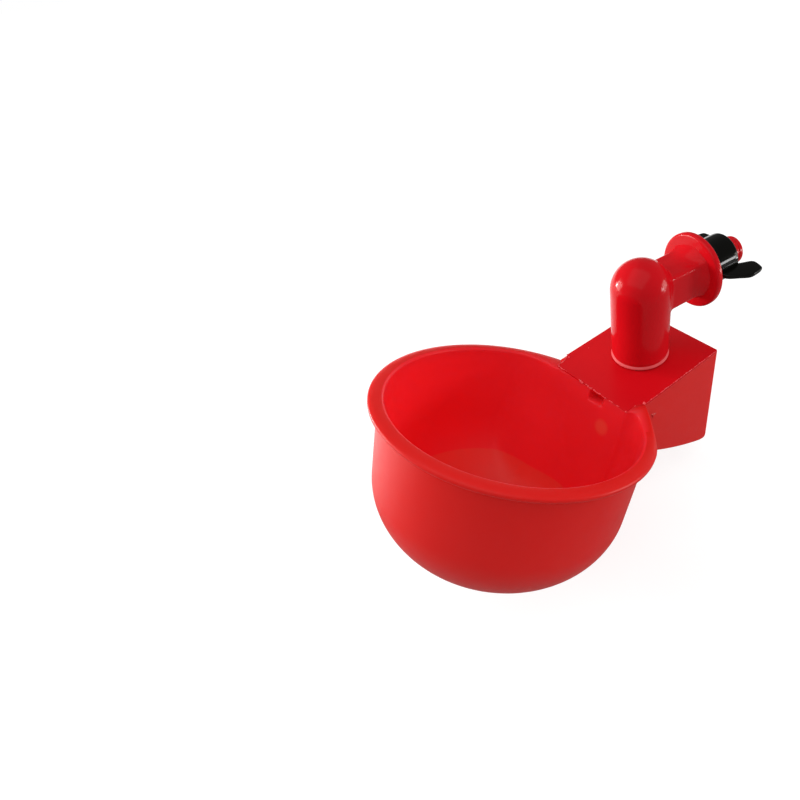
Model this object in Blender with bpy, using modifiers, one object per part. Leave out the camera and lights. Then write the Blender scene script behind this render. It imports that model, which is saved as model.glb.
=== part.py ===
"""Poultry drinking cup that hangs on a wall fitting.

A red elbow is fixed through a hole in a wall with a wing nut. The bowl and its valve
chamber hang on the elbow's stem on a spring. The weight of the water pulls the cup down,
which shuts the valve at the foot of the neck tube.

The origin is the centre of the flange's rear face. +X runs along the spigot into the
wall and +Z runs up the stem.
"""
import math

import bpy
import bmesh

MM = 0.001

# Where the stem and the cup stand
STEM_BACK = 22.7 * MM            # stem axis in front of the flange's rear face
LID_DROP = 22.4 * MM             # lid top below the spigot axis
CUP_YAW = math.radians(5.9)      # the cup stands turned a little on the stem
CLEARANCE = 0.3 * MM             # between pieces that touch
SLIDE_CLEARANCE = 0.5 * MM       # round the pieces that slide

# Spigot, flange and arm
SPIGOT_RADIUS = 4.6 * MM
SPIGOT_LENGTH = 17.8 * MM
SPIGOT_CHAMFER = 0.6 * MM
FLANGE_RADIUS = 12.2 * MM
FLANGE_THICKNESS = 2.2 * MM
FLANGE_EDGE = 0.6 * MM
NECK_RADIUS = 5.9 * MM
NECK_FLARE_RADIUS = 7.8 * MM
NECK_LENGTH = 6.6 * MM
ARM_WIDTH = 12.7 * MM
ARM_HEIGHT = 11.8 * MM
ARM_EDGE = 0.9 * MM
ARM_REACH = 14.4 * MM            # from the stem axis
WATERWAY_RADIUS = 2.5 * MM

# Stem and neck tube
STEM_RADIUS = 9.4 * MM
STEM_FOOT_RADIUS = 9.0 * MM
STEM_FOOT_HEIGHT = 2.0 * MM
STEM_HEIGHT = 34.4 * MM          # lid top to the top of the dome
TUBE_RADIUS = 5.5 * MM
TUBE_DEPTH = 14.7 * MM           # below the lid top
TUBE_BORE_RADIUS = 3.7 * MM
TUBE_BORE_LENGTH = 8.7 * MM

# Bowl
BOWL_TILT = math.radians(24.5)
RIM_BACK = 49.65 * MM            # rim centre in front of the stem axis
RIM_RISE = 11.5 * MM             # rim centre above the lid top
RIM_RADIUS = 41.0 * MM
RIM_THICKNESS = 2.2 * MM
RIM_EDGE = 1.0 * MM
RIM_FILLET = 1.5 * MM
RIM_INNER_ROUND = 0.9 * MM
BOWL_RADIUS = 38.4 * MM
BOWL_STRAIGHT = 24.8 * MM
BOWL_ROUND = 28.8 * MM
WALL = 1.8 * MM

# Valve chamber
PARTITION_OFFSET = 28.85 * MM    # from the bowl axis to the partition's face
PARTITION_HALF_WIDTH = 15.9 * MM
BLOCK_HALF_WIDTH = 17.75 * MM
BLOCK_REACH = 18.3 * MM          # from the stem axis to the outer face
BLOCK_DEPTH = 42.5 * MM          # lid top to the start of the bottom corner
BLOCK_EDGE = 0.5 * MM
UNDERSIDE_START = 15.2 * MM
UNDERSIDE_SLOPE = 0.49
UNDERSIDE_CURVE = 4.34           # per metre, makes the slope steeper towards the bowl
UNDERSIDE_RUN = 46.0 * MM
FLOOR = 2.0 * MM
OUTLET_WIDTH = 5.6 * MM
OUTLET_HEIGHT = 2.3 * MM
OUTLET_DEPTH = 4.0 * MM
OUTLET_SIDE = -1.2 * MM

# Lid
LID_FLANGE = 0.8 * MM
LID_PLUG = 1.5 * MM
LID_FRONT = 23.2 * MM            # from the stem axis to the edge over the bowl
LID_STEP_FRONT = 19.6 * MM
LID_CORNER_FRONT = 17.5 * MM
LID_EDGE = 0.2 * MM
LID_PLUG_FRONT = 21.3 * MM
LID_PLUG_STEP = 16.3 * MM

# Boss in the chamber floor
BOSS_RADIUS = 6.0 * MM
BOSS_ABOVE = 1.65 * MM           # above the chamber floor's highest point beside it
BOSS_BELOW = 0.7 * MM            # below the underside's lowest point beside it
GLAND_RADIUS = 3.6 * MM
GLAND_DEPTH = 1.9 * MM

# Spring and what it stands on
WASHER_RADIUS = 8.4 * MM
WASHER_THICKNESS = 0.8 * MM
SPRING_RADIUS = 7.2 * MM
SPRING_WIRE = 1.0 * MM
SPRING_TURNS = 5
SEAT_GRIP = 1.0 * MM             # the seat's top stands above the tube's end
SEAT_FLANGE_RADIUS = 8.6 * MM
SEAT_FLANGE = 1.3 * MM
SEAT_BODY_RADIUS = 7.4 * MM
SEAT_FLOOR = 2.2 * MM
SEAT_HOLE_RADIUS = 2.2 * MM
SEAT_LIP_RADIUS = 2.9 * MM
SEAT_LIP_HEIGHT = 0.5 * MM

# Valve rod with its seals
CUP_TRAVEL = 3.0 * MM
ROD_RADIUS = 1.5 * MM
ROD_BELOW = 1.5 * MM             # the rod's end below the adjusting nut
HEAD_RADIUS = 3.0 * MM
HEAD_THICKNESS = 1.3 * MM
SEAL_THICKNESS = 1.2 * MM
ROD_SEAL_SECTION = 1.5 * MM

# Nuts and the washer on the spigot
SEALING_WASHER_RADIUS = 7.3 * MM
SEALING_WASHER = 2.0 * MM
HUB_RADIUS = 7.45 * MM
HUB_END = 12.4 * MM              # behind the flange's rear face
HUB_EDGE = 0.7 * MM
WING_ROLL = math.radians(8.0)
WING_THICKNESS = 1.4 * MM
WING_EDGE = 0.35 * MM
WING_OUTLINE = (
    (4.0 * MM, 5.6 * MM),
    (5.1 * MM, 9.5 * MM),
    (11.9 * MM, 13.5 * MM),
    (17.3 * MM, 13.1 * MM),
    (18.1 * MM, 9.8 * MM),
    (17.6 * MM, 8.8 * MM),
    (16.5 * MM, 8.1 * MM),
    (14.1 * MM, 7.3 * MM),
    (12.0 * MM, 5.6 * MM),
)
ADJUSTER_RADIUS = 6.5 * MM
ADJUSTER_HEIGHT = 4.9 * MM
ADJUSTER_EDGE = 0.6 * MM
ADJUSTER_GROOVES = 8
ADJUSTER_GROOVE_RADIUS = 1.0 * MM

COARSE_STEPS = 32
ROUND_STEPS = 48
BOWL_STEPS = 72


def underside_height(x):
    """Height of the block's underside at a distance behind the stem axis."""
    back = UNDERSIDE_START - x
    return -BLOCK_DEPTH + UNDERSIDE_SLOPE * back + UNDERSIDE_CURVE * back * back


BOSS_TOP = -underside_height(-BOSS_RADIUS) - FLOOR - BOSS_ABOVE
BOSS_BOTTOM = -underside_height(BOSS_RADIUS) + BOSS_BELOW
ROD_END = BOSS_BOTTOM + CLEARANCE + ADJUSTER_HEIGHT + ROD_BELOW
SEAT_TOP = TUBE_DEPTH - SEAT_GRIP


def make_collection(name):
    """A collection linked to the scene."""
    group = bpy.data.collections.new(name)
    bpy.context.scene.collection.children.link(group)
    return group


def make_material(name, colour, roughness, metallic=0.0):
    """A plain Principled material."""
    material = bpy.data.materials.new(name)
    material.use_nodes = True
    shader = material.node_tree.nodes["Principled BSDF"]
    shader.inputs["Base Color"].default_value = (*colour, 1.0)
    shader.inputs["Roughness"].default_value = roughness
    shader.inputs["Metallic"].default_value = metallic
    material.diffuse_color = (*colour, 1.0)
    return material


def make_empty(name, location, parent=None):
    """An empty that carries the pieces on one axis."""
    empty = bpy.data.objects.new(name, None)
    empty.empty_display_size = 5.0 * MM
    empty.location = location
    empty.parent = parent
    PIECES.objects.link(empty)
    return empty


def place(thing, group, parent, location, rotation):
    """Puts a new object in its collection and on its parent."""
    group.objects.link(thing)
    thing.parent = parent
    thing.location = location
    thing.rotation_euler = rotation
    if group is CUTTERS:
        thing.hide_render = True
        thing.display_type = "WIRE"
    return thing


def turned(name, group, parent, profile, steps, location=(0, 0, 0), rotation=(0, 0, 0), closed=False):
    """A turned shape: the profile (radius, height) goes round the local Z axis."""
    edges = [(index, index + 1) for index in range(len(profile) - 1)]
    if closed:
        edges.append((len(profile) - 1, 0))
    mesh = bpy.data.meshes.new(name)
    mesh.from_pydata([(radius, 0.0, height) for radius, height in profile], edges, [])
    thing = place(bpy.data.objects.new(name, mesh), group, parent, location, rotation)
    screw = thing.modifiers.new("Turn", "SCREW")
    screw.steps = steps
    screw.render_steps = steps
    screw.use_merge_vertices = True
    screw.merge_threshold = 0.00001
    return thing


def block(name, group, parent, low, high):
    """A box between two corners of the parent's frame."""
    mesh = bpy.data.meshes.new(name)
    body = bmesh.new()
    bmesh.ops.create_cube(body, size=1.0)
    size = [b - a for a, b in zip(low, high)]
    middle = [(a + b) / 2 for a, b in zip(low, high)]
    bmesh.ops.scale(body, vec=size, verts=body.verts)
    bmesh.ops.translate(body, vec=middle, verts=body.verts)
    body.to_mesh(mesh)
    body.free()
    return place(bpy.data.objects.new(name, mesh), group, parent, (0, 0, 0), (0, 0, 0))


def slab(name, group, parent, outline, low, high, rotation=(0, 0, 0)):
    """A flat outline made solid between two heights of its local Z."""
    curve = bpy.data.curves.new(name, "CURVE")
    curve.dimensions = "2D"
    curve.fill_mode = "BOTH"
    curve.extrude = (high - low) / 2
    spline = curve.splines.new("POLY")
    spline.points.add(len(outline) - 1)
    for point, (first, second) in zip(spline.points, outline):
        point.co = (first, second, 0.0, 1.0)
    spline.use_cyclic_u = True
    drawn = bpy.data.objects.new(name + "_drawn", curve)
    drawn.location.z = (low + high) / 2
    PIECES.objects.link(drawn)
    bpy.context.view_layer.update()
    evaluated = drawn.evaluated_get(bpy.context.evaluated_depsgraph_get())
    mesh = bpy.data.meshes.new_from_object(evaluated)
    mesh.transform(drawn.matrix_world)
    body = bmesh.new()
    body.from_mesh(mesh)
    bmesh.ops.remove_doubles(body, verts=body.verts, dist=0.000001)
    bmesh.ops.recalc_face_normals(body, faces=body.faces)
    body.to_mesh(mesh)
    body.free()
    mesh.name = name
    bpy.data.objects.remove(drawn)
    bpy.data.curves.remove(curve)
    return place(bpy.data.objects.new(name, mesh), group, parent, (0, 0, 0), rotation)


def bevel(thing, width, segments=2):
    """Rounds the sharp edges of a piece."""
    modifier = thing.modifiers.new("Rounded edges", "BEVEL")
    modifier.width = width
    modifier.segments = segments
    modifier.limit_method = "ANGLE"
    modifier.angle_limit = math.radians(40)


def combine(thing, other, operation):
    """A live Boolean of one piece with another."""
    modifier = thing.modifiers.new(other.name, "BOOLEAN")
    modifier.operation = operation
    modifier.object = other
    modifier.solver = "EXACT"


def weld(thing):
    """Closes hairline splits between the faces of a combined piece."""
    modifier = thing.modifiers.new("Weld", "WELD")
    modifier.merge_threshold = 0.00002


def arc(middle, radius, start, end, count):
    """Points of a round corner, from one angle to the other in degrees."""
    angles = [math.radians(start + (end - start) * index / count) for index in range(count + 1)]
    return [(middle[0] + radius * math.cos(a), middle[1] + radius * math.sin(a)) for a in angles]


def ring_profile(inner, outer, low, high):
    """A plain ring's section."""
    return [(outer, high), (outer, low), (inner, low), (inner, high)]


def paint(thing, material):
    """Gives a piece its material."""
    thing.data.materials.append(material)
    return thing


def spigot_and_flange(parent):
    """Turned part of the elbow: threaded spigot, flange and flared neck on the X axis."""
    flange_front = -FLANGE_THICKNESS
    neck_back = flange_front - NECK_LENGTH
    profile = [(0.0, SPIGOT_LENGTH)]
    profile.append((SPIGOT_RADIUS - SPIGOT_CHAMFER, SPIGOT_LENGTH))
    profile.append((SPIGOT_RADIUS, SPIGOT_LENGTH - SPIGOT_CHAMFER))
    profile.append((SPIGOT_RADIUS, 0.0))
    rim = FLANGE_RADIUS - FLANGE_EDGE
    profile += arc((rim, -FLANGE_EDGE), FLANGE_EDGE, 90, 0, 3)
    profile += arc((rim, flange_front + FLANGE_EDGE), FLANGE_EDGE, 0, -90, 3)
    flare = NECK_FLARE_RADIUS - NECK_RADIUS
    for index in range(6):
        share = index / 5
        radius = NECK_RADIUS + flare * (1 - share) ** 2
        profile.append((radius, flange_front - share * 0.7 * NECK_LENGTH))
    profile.append((NECK_RADIUS, neck_back))
    profile.append((0.0, neck_back))
    return turned("spigot", CUTTERS, parent, profile, ROUND_STEPS, rotation=(0, math.pi / 2, 0))


def make_elbow(spigot_axis, stem_axis):
    """One moulding: stem with its dome and neck tube, square arm, neck, flange and spigot."""
    dome = STEM_HEIGHT - STEM_RADIUS
    foot = CLEARANCE + STEM_FOOT_HEIGHT
    profile = arc((0.0, dome), STEM_RADIUS, 90, 0, 9)
    profile += [(STEM_RADIUS, foot), (STEM_FOOT_RADIUS, CLEARANCE), (TUBE_RADIUS, CLEARANCE)]
    profile += [(TUBE_RADIUS, -TUBE_DEPTH), (0.0, -TUBE_DEPTH)]
    elbow = turned("elbow", PIECES, stem_axis, profile, ROUND_STEPS)

    arm = block("arm", CUTTERS, spigot_axis,
                (-STEM_BACK, -ARM_WIDTH / 2, -ARM_HEIGHT / 2),
                (-STEM_BACK + ARM_REACH, ARM_WIDTH / 2, ARM_HEIGHT / 2))
    bevel(arm, ARM_EDGE)
    combine(elbow, arm, "UNION")
    combine(elbow, spigot_and_flange(spigot_axis), "UNION")

    across = [(WATERWAY_RADIUS, SPIGOT_LENGTH + CLEARANCE), (WATERWAY_RADIUS, -STEM_BACK)]
    across = [(0.0, across[0][1])] + across + [(0.0, across[1][1])]
    combine(elbow, turned("waterway_across", CUTTERS, spigot_axis, across, COARSE_STEPS,
                          rotation=(0, math.pi / 2, 0)), "DIFFERENCE")
    bore_top = TUBE_BORE_LENGTH - TUBE_DEPTH
    rising = WATERWAY_RADIUS + SLIDE_CLEARANCE
    end = LID_DROP + WATERWAY_RADIUS / 2
    down = [(0.0, end), (rising, end), (rising, bore_top),
            (TUBE_BORE_RADIUS, bore_top), (TUBE_BORE_RADIUS, -TUBE_DEPTH - CLEARANCE),
            (0.0, -TUBE_DEPTH - CLEARANCE)]
    combine(elbow, turned("waterway_down", CUTTERS, stem_axis, down, COARSE_STEPS), "DIFFERENCE")
    weld(elbow)
    return elbow


def bowl_side(radius, straight, round_depth, count):
    """Side of the bowl from the rim plane: straight, then a quarter of an ellipse."""
    points = [(radius, -straight)]
    for index in range(1, count + 1):
        angle = math.radians(90 * index / count)
        points.append((radius * math.cos(angle), -straight - round_depth * math.sin(angle)))
    points[-1] = (0.0, -straight - round_depth)
    return points


def bowl_outside():
    """Section of the filled bowl with its rim ring."""
    rim = RIM_RADIUS - RIM_EDGE
    profile = [(0.0, 0.0)] + arc((rim, -RIM_EDGE), RIM_EDGE, 90, 0, 3)
    profile += arc((rim, RIM_EDGE - RIM_THICKNESS), RIM_EDGE, 0, -90, 3)
    fillet = (BOWL_RADIUS + RIM_FILLET, -RIM_THICKNESS - RIM_FILLET)
    profile += arc(fillet, RIM_FILLET, 90, 180, 3)
    return profile + bowl_side(BOWL_RADIUS, BOWL_STRAIGHT, BOWL_ROUND, 12)


def bowl_inside():
    """Section of the bowl's hollow, left above the rim as well."""
    radius = BOWL_RADIUS - WALL
    above = RIM_RISE
    profile = [(0.0, above), (radius + RIM_INNER_ROUND, above)]
    profile += arc((radius + RIM_INNER_ROUND, -RIM_INNER_ROUND), RIM_INNER_ROUND, 90, 180, 3)
    return profile + bowl_side(radius, BOWL_STRAIGHT, BOWL_ROUND - WALL, 12)


def underside(raise_by, start, run, count):
    """Underside line of the block from the outer end towards the bowl, as (x, z)."""
    points = []
    for index in range(count + 1):
        x = start - run * index / count
        points.append((x, underside_height(x) + raise_by))
    return points


def block_body(parent):
    """Filled block with the slanting underside and the rounded bottom corner."""
    above = RIM_RISE / 2
    corner = BLOCK_REACH - UNDERSIDE_START
    outline = [(UNDERSIDE_START - UNDERSIDE_RUN, above), (BLOCK_REACH, above)]
    outline += [(BLOCK_REACH, -BLOCK_DEPTH + 0.2 * corner)]
    outline += [(BLOCK_REACH - 0.12 * corner, -BLOCK_DEPTH - 0.08 * corner)]
    outline += [(BLOCK_REACH - 0.38 * corner, -BLOCK_DEPTH - 0.24 * corner)]
    outline += underside(0.0, UNDERSIDE_START + 0.3 * corner, UNDERSIDE_RUN + 0.3 * corner, 12)
    body = slab("block_body", CUTTERS, parent, outline, -BLOCK_HALF_WIDTH, BLOCK_HALF_WIDTH,
                rotation=(math.pi / 2, 0, 0))
    bevel(body, BLOCK_EDGE)
    return body


def hollow_of_bowl(parent):
    """The drinking bowl's hollow, which stops at the partition."""
    hollow = turned("bowl_hollow", CUTTERS, parent, bowl_inside(), BOWL_STEPS)
    keep = block("partition_block", CUTTERS, parent,
                 (PARTITION_OFFSET, -PARTITION_HALF_WIDTH, -2 * RIM_RADIUS),
                 (2 * RIM_RADIUS, PARTITION_HALF_WIDTH, 2 * RIM_RADIUS))
    combine(hollow, keep, "DIFFERENCE")
    return hollow


def hollow_of_pocket(parent):
    """Hollow between the partition and the round wall of the bowl."""
    hollow = turned("pocket_hollow", CUTTERS, parent, bowl_inside(), BOWL_STEPS)
    keep = block("pocket_block", CUTTERS, parent,
                 (PARTITION_OFFSET + WALL, WALL - PARTITION_HALF_WIDTH, -2 * RIM_RADIUS),
                 (2 * RIM_RADIUS, PARTITION_HALF_WIDTH - WALL, 2 * RIM_RADIUS))
    combine(hollow, keep, "INTERSECT")
    return hollow


def bowl_line(offset, height):
    """Where the line beside the bowl axis at this offset passes this height, as (x, z)."""
    sine = math.sin(BOWL_TILT)
    cosine = math.cos(BOWL_TILT)
    depth = (RIM_RISE - offset * sine - height) / cosine
    return (-RIM_BACK + offset * cosine - depth * sine, height)


def chamber_outline(offset, end):
    """Section of the chamber from a line beside the bowl axis to the outer wall."""
    above = RIM_RISE / 2
    floor = underside(FLOOR, end, UNDERSIDE_RUN, 24)
    edge = [point for point in floor if point[0] > bowl_line(offset, point[1])[0]]
    last = bowl_line(offset, edge[-1][1])
    return [bowl_line(offset, above), (end, above)] + edge + [last]


def hollow_of_chamber(parent):
    """The valve chamber: a wide room round the stem axis and the passage to the pocket."""
    end = BLOCK_REACH - WALL
    half = BLOCK_HALF_WIDTH - WALL
    turn = (math.pi / 2, 0, 0)
    room = slab("chamber_room", CUTTERS, parent,
                chamber_outline(BOWL_RADIUS - 1.8 * WALL, end), -half, half, rotation=turn)
    narrow = PARTITION_HALF_WIDTH - WALL
    passage = slab("chamber_passage", CUTTERS, parent,
                   chamber_outline(PARTITION_OFFSET + 2.5 * WALL, end - WALL), -narrow, narrow,
                   rotation=turn)
    return room, passage


def make_cup(bowl_axis, stem_axis):
    """One moulding: bowl with rim ring, partition and the open-topped chamber block."""
    cup = turned("cup", PIECES, bowl_axis, bowl_outside(), BOWL_STEPS)
    combine(cup, block_body(stem_axis), "UNION")
    top = -LID_FLANGE - CLEARANCE
    above = block("above_block", CUTTERS, stem_axis,
                  (-LID_FRONT - WALL, -BLOCK_HALF_WIDTH - WALL / 2, top),
                  (BLOCK_REACH + WALL, BLOCK_HALF_WIDTH + WALL / 2, RIM_RISE))
    combine(cup, above, "DIFFERENCE")
    combine(cup, hollow_of_bowl(bowl_axis), "DIFFERENCE")
    combine(cup, hollow_of_pocket(bowl_axis), "DIFFERENCE")
    room, passage = hollow_of_chamber(stem_axis)
    combine(cup, room, "DIFFERENCE")
    combine(cup, passage, "DIFFERENCE")

    boss = [(0.0, -BOSS_TOP), (BOSS_RADIUS, -BOSS_TOP), (BOSS_RADIUS, -BOSS_BOTTOM), (0.0, -BOSS_BOTTOM)]
    combine(cup, turned("boss", CUTTERS, stem_axis, boss, COARSE_STEPS), "UNION")
    hole = ROD_RADIUS + CLEARANCE
    gland_floor = -BOSS_TOP - GLAND_DEPTH
    gland = [(0.0, CLEARANCE - BOSS_TOP), (GLAND_RADIUS, CLEARANCE - BOSS_TOP), (GLAND_RADIUS, gland_floor),
             (hole, gland_floor), (hole, -BOSS_BOTTOM - CLEARANCE), (0.0, -BOSS_BOTTOM - CLEARANCE)]
    combine(cup, turned("rod_hole", CUTTERS, stem_axis, gland, COARSE_STEPS), "DIFFERENCE")
    side = OUTLET_WIDTH / 2
    rise = OUTLET_HEIGHT / 2
    outlet = block("outlet", CUTTERS, bowl_axis,
                   (PARTITION_OFFSET - WALL, OUTLET_SIDE - side, -OUTLET_DEPTH - rise),
                   (PARTITION_OFFSET + 2 * WALL, OUTLET_SIDE + side, -OUTLET_DEPTH + rise))
    combine(cup, outlet, "DIFFERENCE")
    weld(cup)
    return cup


def lid_outline():
    """Outline of the lid seen from above, one half after the other."""
    half = [(BLOCK_REACH, BLOCK_HALF_WIDTH), (-LID_CORNER_FRONT, BLOCK_HALF_WIDTH),
            (-LID_STEP_FRONT, PARTITION_HALF_WIDTH), (-LID_FRONT, PARTITION_HALF_WIDTH)]
    return half + [(x, -y) for x, y in reversed(half)]


def plug_outline():
    """Outline of the lid's raised underside, which fits between the walls."""
    wide = BLOCK_HALF_WIDTH - WALL - CLEARANCE
    narrow = PARTITION_HALF_WIDTH - WALL - CLEARANCE
    end = BLOCK_REACH - WALL - CLEARANCE
    half = [(end, wide), (-LID_PLUG_STEP, wide), (-LID_PLUG_STEP, narrow), (-LID_PLUG_FRONT, narrow)]
    return half + [(x, -y) for x, y in reversed(half)]


def make_lid(parent):
    """Flat plate on the block, with a plug between the walls and the hole for the neck tube."""
    lid = slab("lid", PIECES, parent, lid_outline(), -LID_FLANGE, 0.0)
    bevel(lid, LID_EDGE)
    plug = slab("lid_plug", CUTTERS, parent, plug_outline(), -LID_FLANGE - LID_PLUG, -LID_FLANGE / 2)
    combine(lid, plug, "UNION")
    radius = TUBE_RADIUS + SLIDE_CLEARANCE
    hole = [(0.0, LID_FLANGE), (radius, LID_FLANGE), (radius, -2 * LID_PLUG - LID_FLANGE),
            (0.0, -2 * LID_PLUG - LID_FLANGE)]
    combine(lid, turned("lid_hole", CUTTERS, parent, hole, ROUND_STEPS), "DIFFERENCE")
    return lid


def make_thrust_washer(parent):
    """Thin ring between the spring and the lid."""
    high = -LID_FLANGE - LID_PLUG - CLEARANCE
    profile = ring_profile(TUBE_RADIUS + SLIDE_CLEARANCE, WASHER_RADIUS, high - WASHER_THICKNESS, high)
    return turned("thrust_washer", PIECES, parent, profile, COARSE_STEPS, closed=True)


def make_spring(parent):
    """Compression spring round the neck tube, with a closed turn at each end."""
    high = -LID_FLANGE - LID_PLUG - 2 * CLEARANCE - WASHER_THICKNESS - SPRING_WIRE / 2
    low = -SEAT_TOP + CLEARANCE + SPRING_WIRE / 2
    points_per_turn = 24
    count = SPRING_TURNS * points_per_turn
    closed_rise = 1.15 * SPRING_WIRE
    curve = bpy.data.curves.new("spring", "CURVE")
    curve.dimensions = "3D"
    curve.bevel_depth = SPRING_WIRE / 2
    curve.bevel_resolution = 2
    curve.use_fill_caps = True
    spline = curve.splines.new("POLY")
    spline.points.add(count)
    for index, point in enumerate(spline.points):
        turn = index / points_per_turn
        middle_turns = SPRING_TURNS - 2
        if turn < 1:
            height = low + closed_rise * turn
        elif turn > SPRING_TURNS - 1:
            height = high - closed_rise * (SPRING_TURNS - turn)
        else:
            share = (turn - 1) / middle_turns
            height = low + closed_rise + share * (high - low - 2 * closed_rise)
        angle = 2 * math.pi * turn
        point.co = (SPRING_RADIUS * math.cos(angle), SPRING_RADIUS * math.sin(angle), height, 1.0)
    return place(bpy.data.objects.new("spring", curve), PIECES, parent, (0, 0, 0), (0, 0, 0))


def make_valve_seat(parent):
    """Collar on the foot of the neck tube, with the raised lip the seal closes on."""
    floor = -TUBE_DEPTH - CLEARANCE
    flange_low = -SEAT_TOP - SEAT_FLANGE
    bore = TUBE_RADIUS + CLEARANCE
    bottom = floor - SEAT_FLOOR
    profile = [(bore, -SEAT_TOP), (SEAT_FLANGE_RADIUS, -SEAT_TOP), (SEAT_FLANGE_RADIUS, flange_low),
               (SEAT_BODY_RADIUS, flange_low), (SEAT_BODY_RADIUS, bottom), (SEAT_HOLE_RADIUS, bottom),
               (SEAT_HOLE_RADIUS, floor + SEAT_LIP_HEIGHT), (SEAT_LIP_RADIUS, floor + SEAT_LIP_HEIGHT),
               (SEAT_LIP_RADIUS, floor), (bore, floor)]
    return turned("valve_seat", PIECES, parent, profile, COARSE_STEPS, closed=True)


def seal_low():
    """Height of the seal's closing face while the cup hangs up and the valve is open."""
    seat = -TUBE_DEPTH - CLEARANCE + SEAT_LIP_HEIGHT
    return seat + CUP_TRAVEL + CLEARANCE


def make_valve_rod(parent):
    """Rod with a flat head in the neck tube and a threaded end under the block."""
    low = seal_low() + SEAL_THICKNESS + CLEARANCE
    profile = [(0.0, low + HEAD_THICKNESS), (HEAD_RADIUS, low + HEAD_THICKNESS), (HEAD_RADIUS, low),
               (ROD_RADIUS, low), (ROD_RADIUS, -ROD_END + CLEARANCE),
               (ROD_RADIUS - CLEARANCE, -ROD_END), (0.0, -ROD_END)]
    return turned("valve_rod", PIECES, parent, profile, COARSE_STEPS)


def make_valve_seal(parent):
    """Rubber ring under the rod's head."""
    profile = ring_profile(ROD_RADIUS + CLEARANCE / 2, HEAD_RADIUS, seal_low(), seal_low() + SEAL_THICKNESS)
    return turned("valve_seal", PIECES, parent, profile, COARSE_STEPS, closed=True)


def make_rod_seal(parent):
    """Round rubber ring in the gland on top of the boss."""
    section = ROD_SEAL_SECTION / 2
    middle = (ROD_RADIUS + CLEARANCE / 2 + section, -BOSS_TOP - GLAND_DEPTH + CLEARANCE / 2 + section)
    profile = arc(middle, section, 90, -270, 12)[:-1]
    return turned("rod_seal", PIECES, parent, profile, COARSE_STEPS, closed=True)


def make_adjusting_nut(parent):
    """Round nut with finger grooves on the rod's lower end."""
    high = -BOSS_BOTTOM - CLEARANCE
    low = high - ADJUSTER_HEIGHT
    rim = ADJUSTER_RADIUS - ADJUSTER_EDGE
    hole = ROD_RADIUS + CLEARANCE
    profile = [(hole, high), (rim, high), (ADJUSTER_RADIUS, high - ADJUSTER_EDGE),
               (ADJUSTER_RADIUS, low + ADJUSTER_EDGE), (rim, low), (hole, low)]
    nut = turned("adjusting_nut", PIECES, parent, profile, ROUND_STEPS, closed=True)
    groove = [(0.0, ADJUSTER_HEIGHT), (ADJUSTER_GROOVE_RADIUS, ADJUSTER_HEIGHT),
              (ADJUSTER_GROOVE_RADIUS, -ADJUSTER_HEIGHT), (0.0, -ADJUSTER_HEIGHT)]
    reach = ADJUSTER_RADIUS + ADJUSTER_GROOVE_RADIUS / 3
    for index in range(ADJUSTER_GROOVES):
        angle = 2 * math.pi * index / ADJUSTER_GROOVES
        spot = (reach * math.cos(angle), reach * math.sin(angle), (high + low) / 2)
        cutter = turned("finger_groove_%d" % (index + 1), CUTTERS, parent, groove, 12, location=spot)
        combine(nut, cutter, "DIFFERENCE")
    return nut


def make_sealing_washer(parent):
    """Flat rubber ring on the spigot."""
    profile = ring_profile(SPIGOT_RADIUS + CLEARANCE, SEALING_WASHER_RADIUS,
                           CLEARANCE, CLEARANCE + SEALING_WASHER)
    return turned("sealing_washer", PIECES, parent, profile, COARSE_STEPS,
                  rotation=(0, math.pi / 2, 0), closed=True)


def make_wing_nut(parent):
    """Hub with two swept-back wings."""
    front = SEALING_WASHER + 2 * CLEARANCE
    hub = HUB_RADIUS - HUB_EDGE
    bore = SPIGOT_RADIUS + CLEARANCE
    profile = [(bore, HUB_END)] + arc((hub, HUB_END - HUB_EDGE), HUB_EDGE, 90, 0, 3)
    profile += [(HUB_RADIUS, front), (bore, front)]
    nut = turned("wing_nut", PIECES, parent, profile, ROUND_STEPS,
                 rotation=(0, math.pi / 2, 0), closed=True)
    for name, roll in (("wing_near", math.pi + WING_ROLL), ("wing_far", WING_ROLL)):
        wing = slab(name, CUTTERS, parent, WING_OUTLINE, -WING_THICKNESS / 2, WING_THICKNESS / 2,
                    rotation=(roll, 0, 0))
        bevel(wing, WING_EDGE)
        combine(nut, wing, "UNION")
    return nut


for old in list(bpy.data.objects):
    bpy.data.objects.remove(old)
PIECES = make_collection("poultry_drinking_cup")
CUTTERS = make_collection("cutters")

red_plastic = make_material("red_cup_plastic", (0.62, 0.012, 0.02), 0.34)
elbow_plastic = make_material("red_elbow_plastic", (0.58, 0.010, 0.018), 0.28)
black_plastic = make_material("black_nut_plastic", (0.012, 0.013, 0.012), 0.18)
rubber = make_material("black_rubber", (0.02, 0.02, 0.02), 0.75)
white_plastic = make_material("white_valve_plastic", (0.72, 0.71, 0.67), 0.4)
steel = make_material("spring_steel", (0.56, 0.56, 0.55), 0.3, 1.0)

spigot_axis = make_empty("spigot_axis", (0, 0, 0))
stem_axis = make_empty("stem_axis", (-STEM_BACK, 0, -LID_DROP))
cup_axis = make_empty("cup_turning_axis", (0, 0, 0), stem_axis)
cup_axis.rotation_euler.z = CUP_YAW
bowl_axis = make_empty("bowl_axis", (-RIM_BACK, 0, RIM_RISE), cup_axis)
bowl_axis.rotation_euler.y = BOWL_TILT

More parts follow.
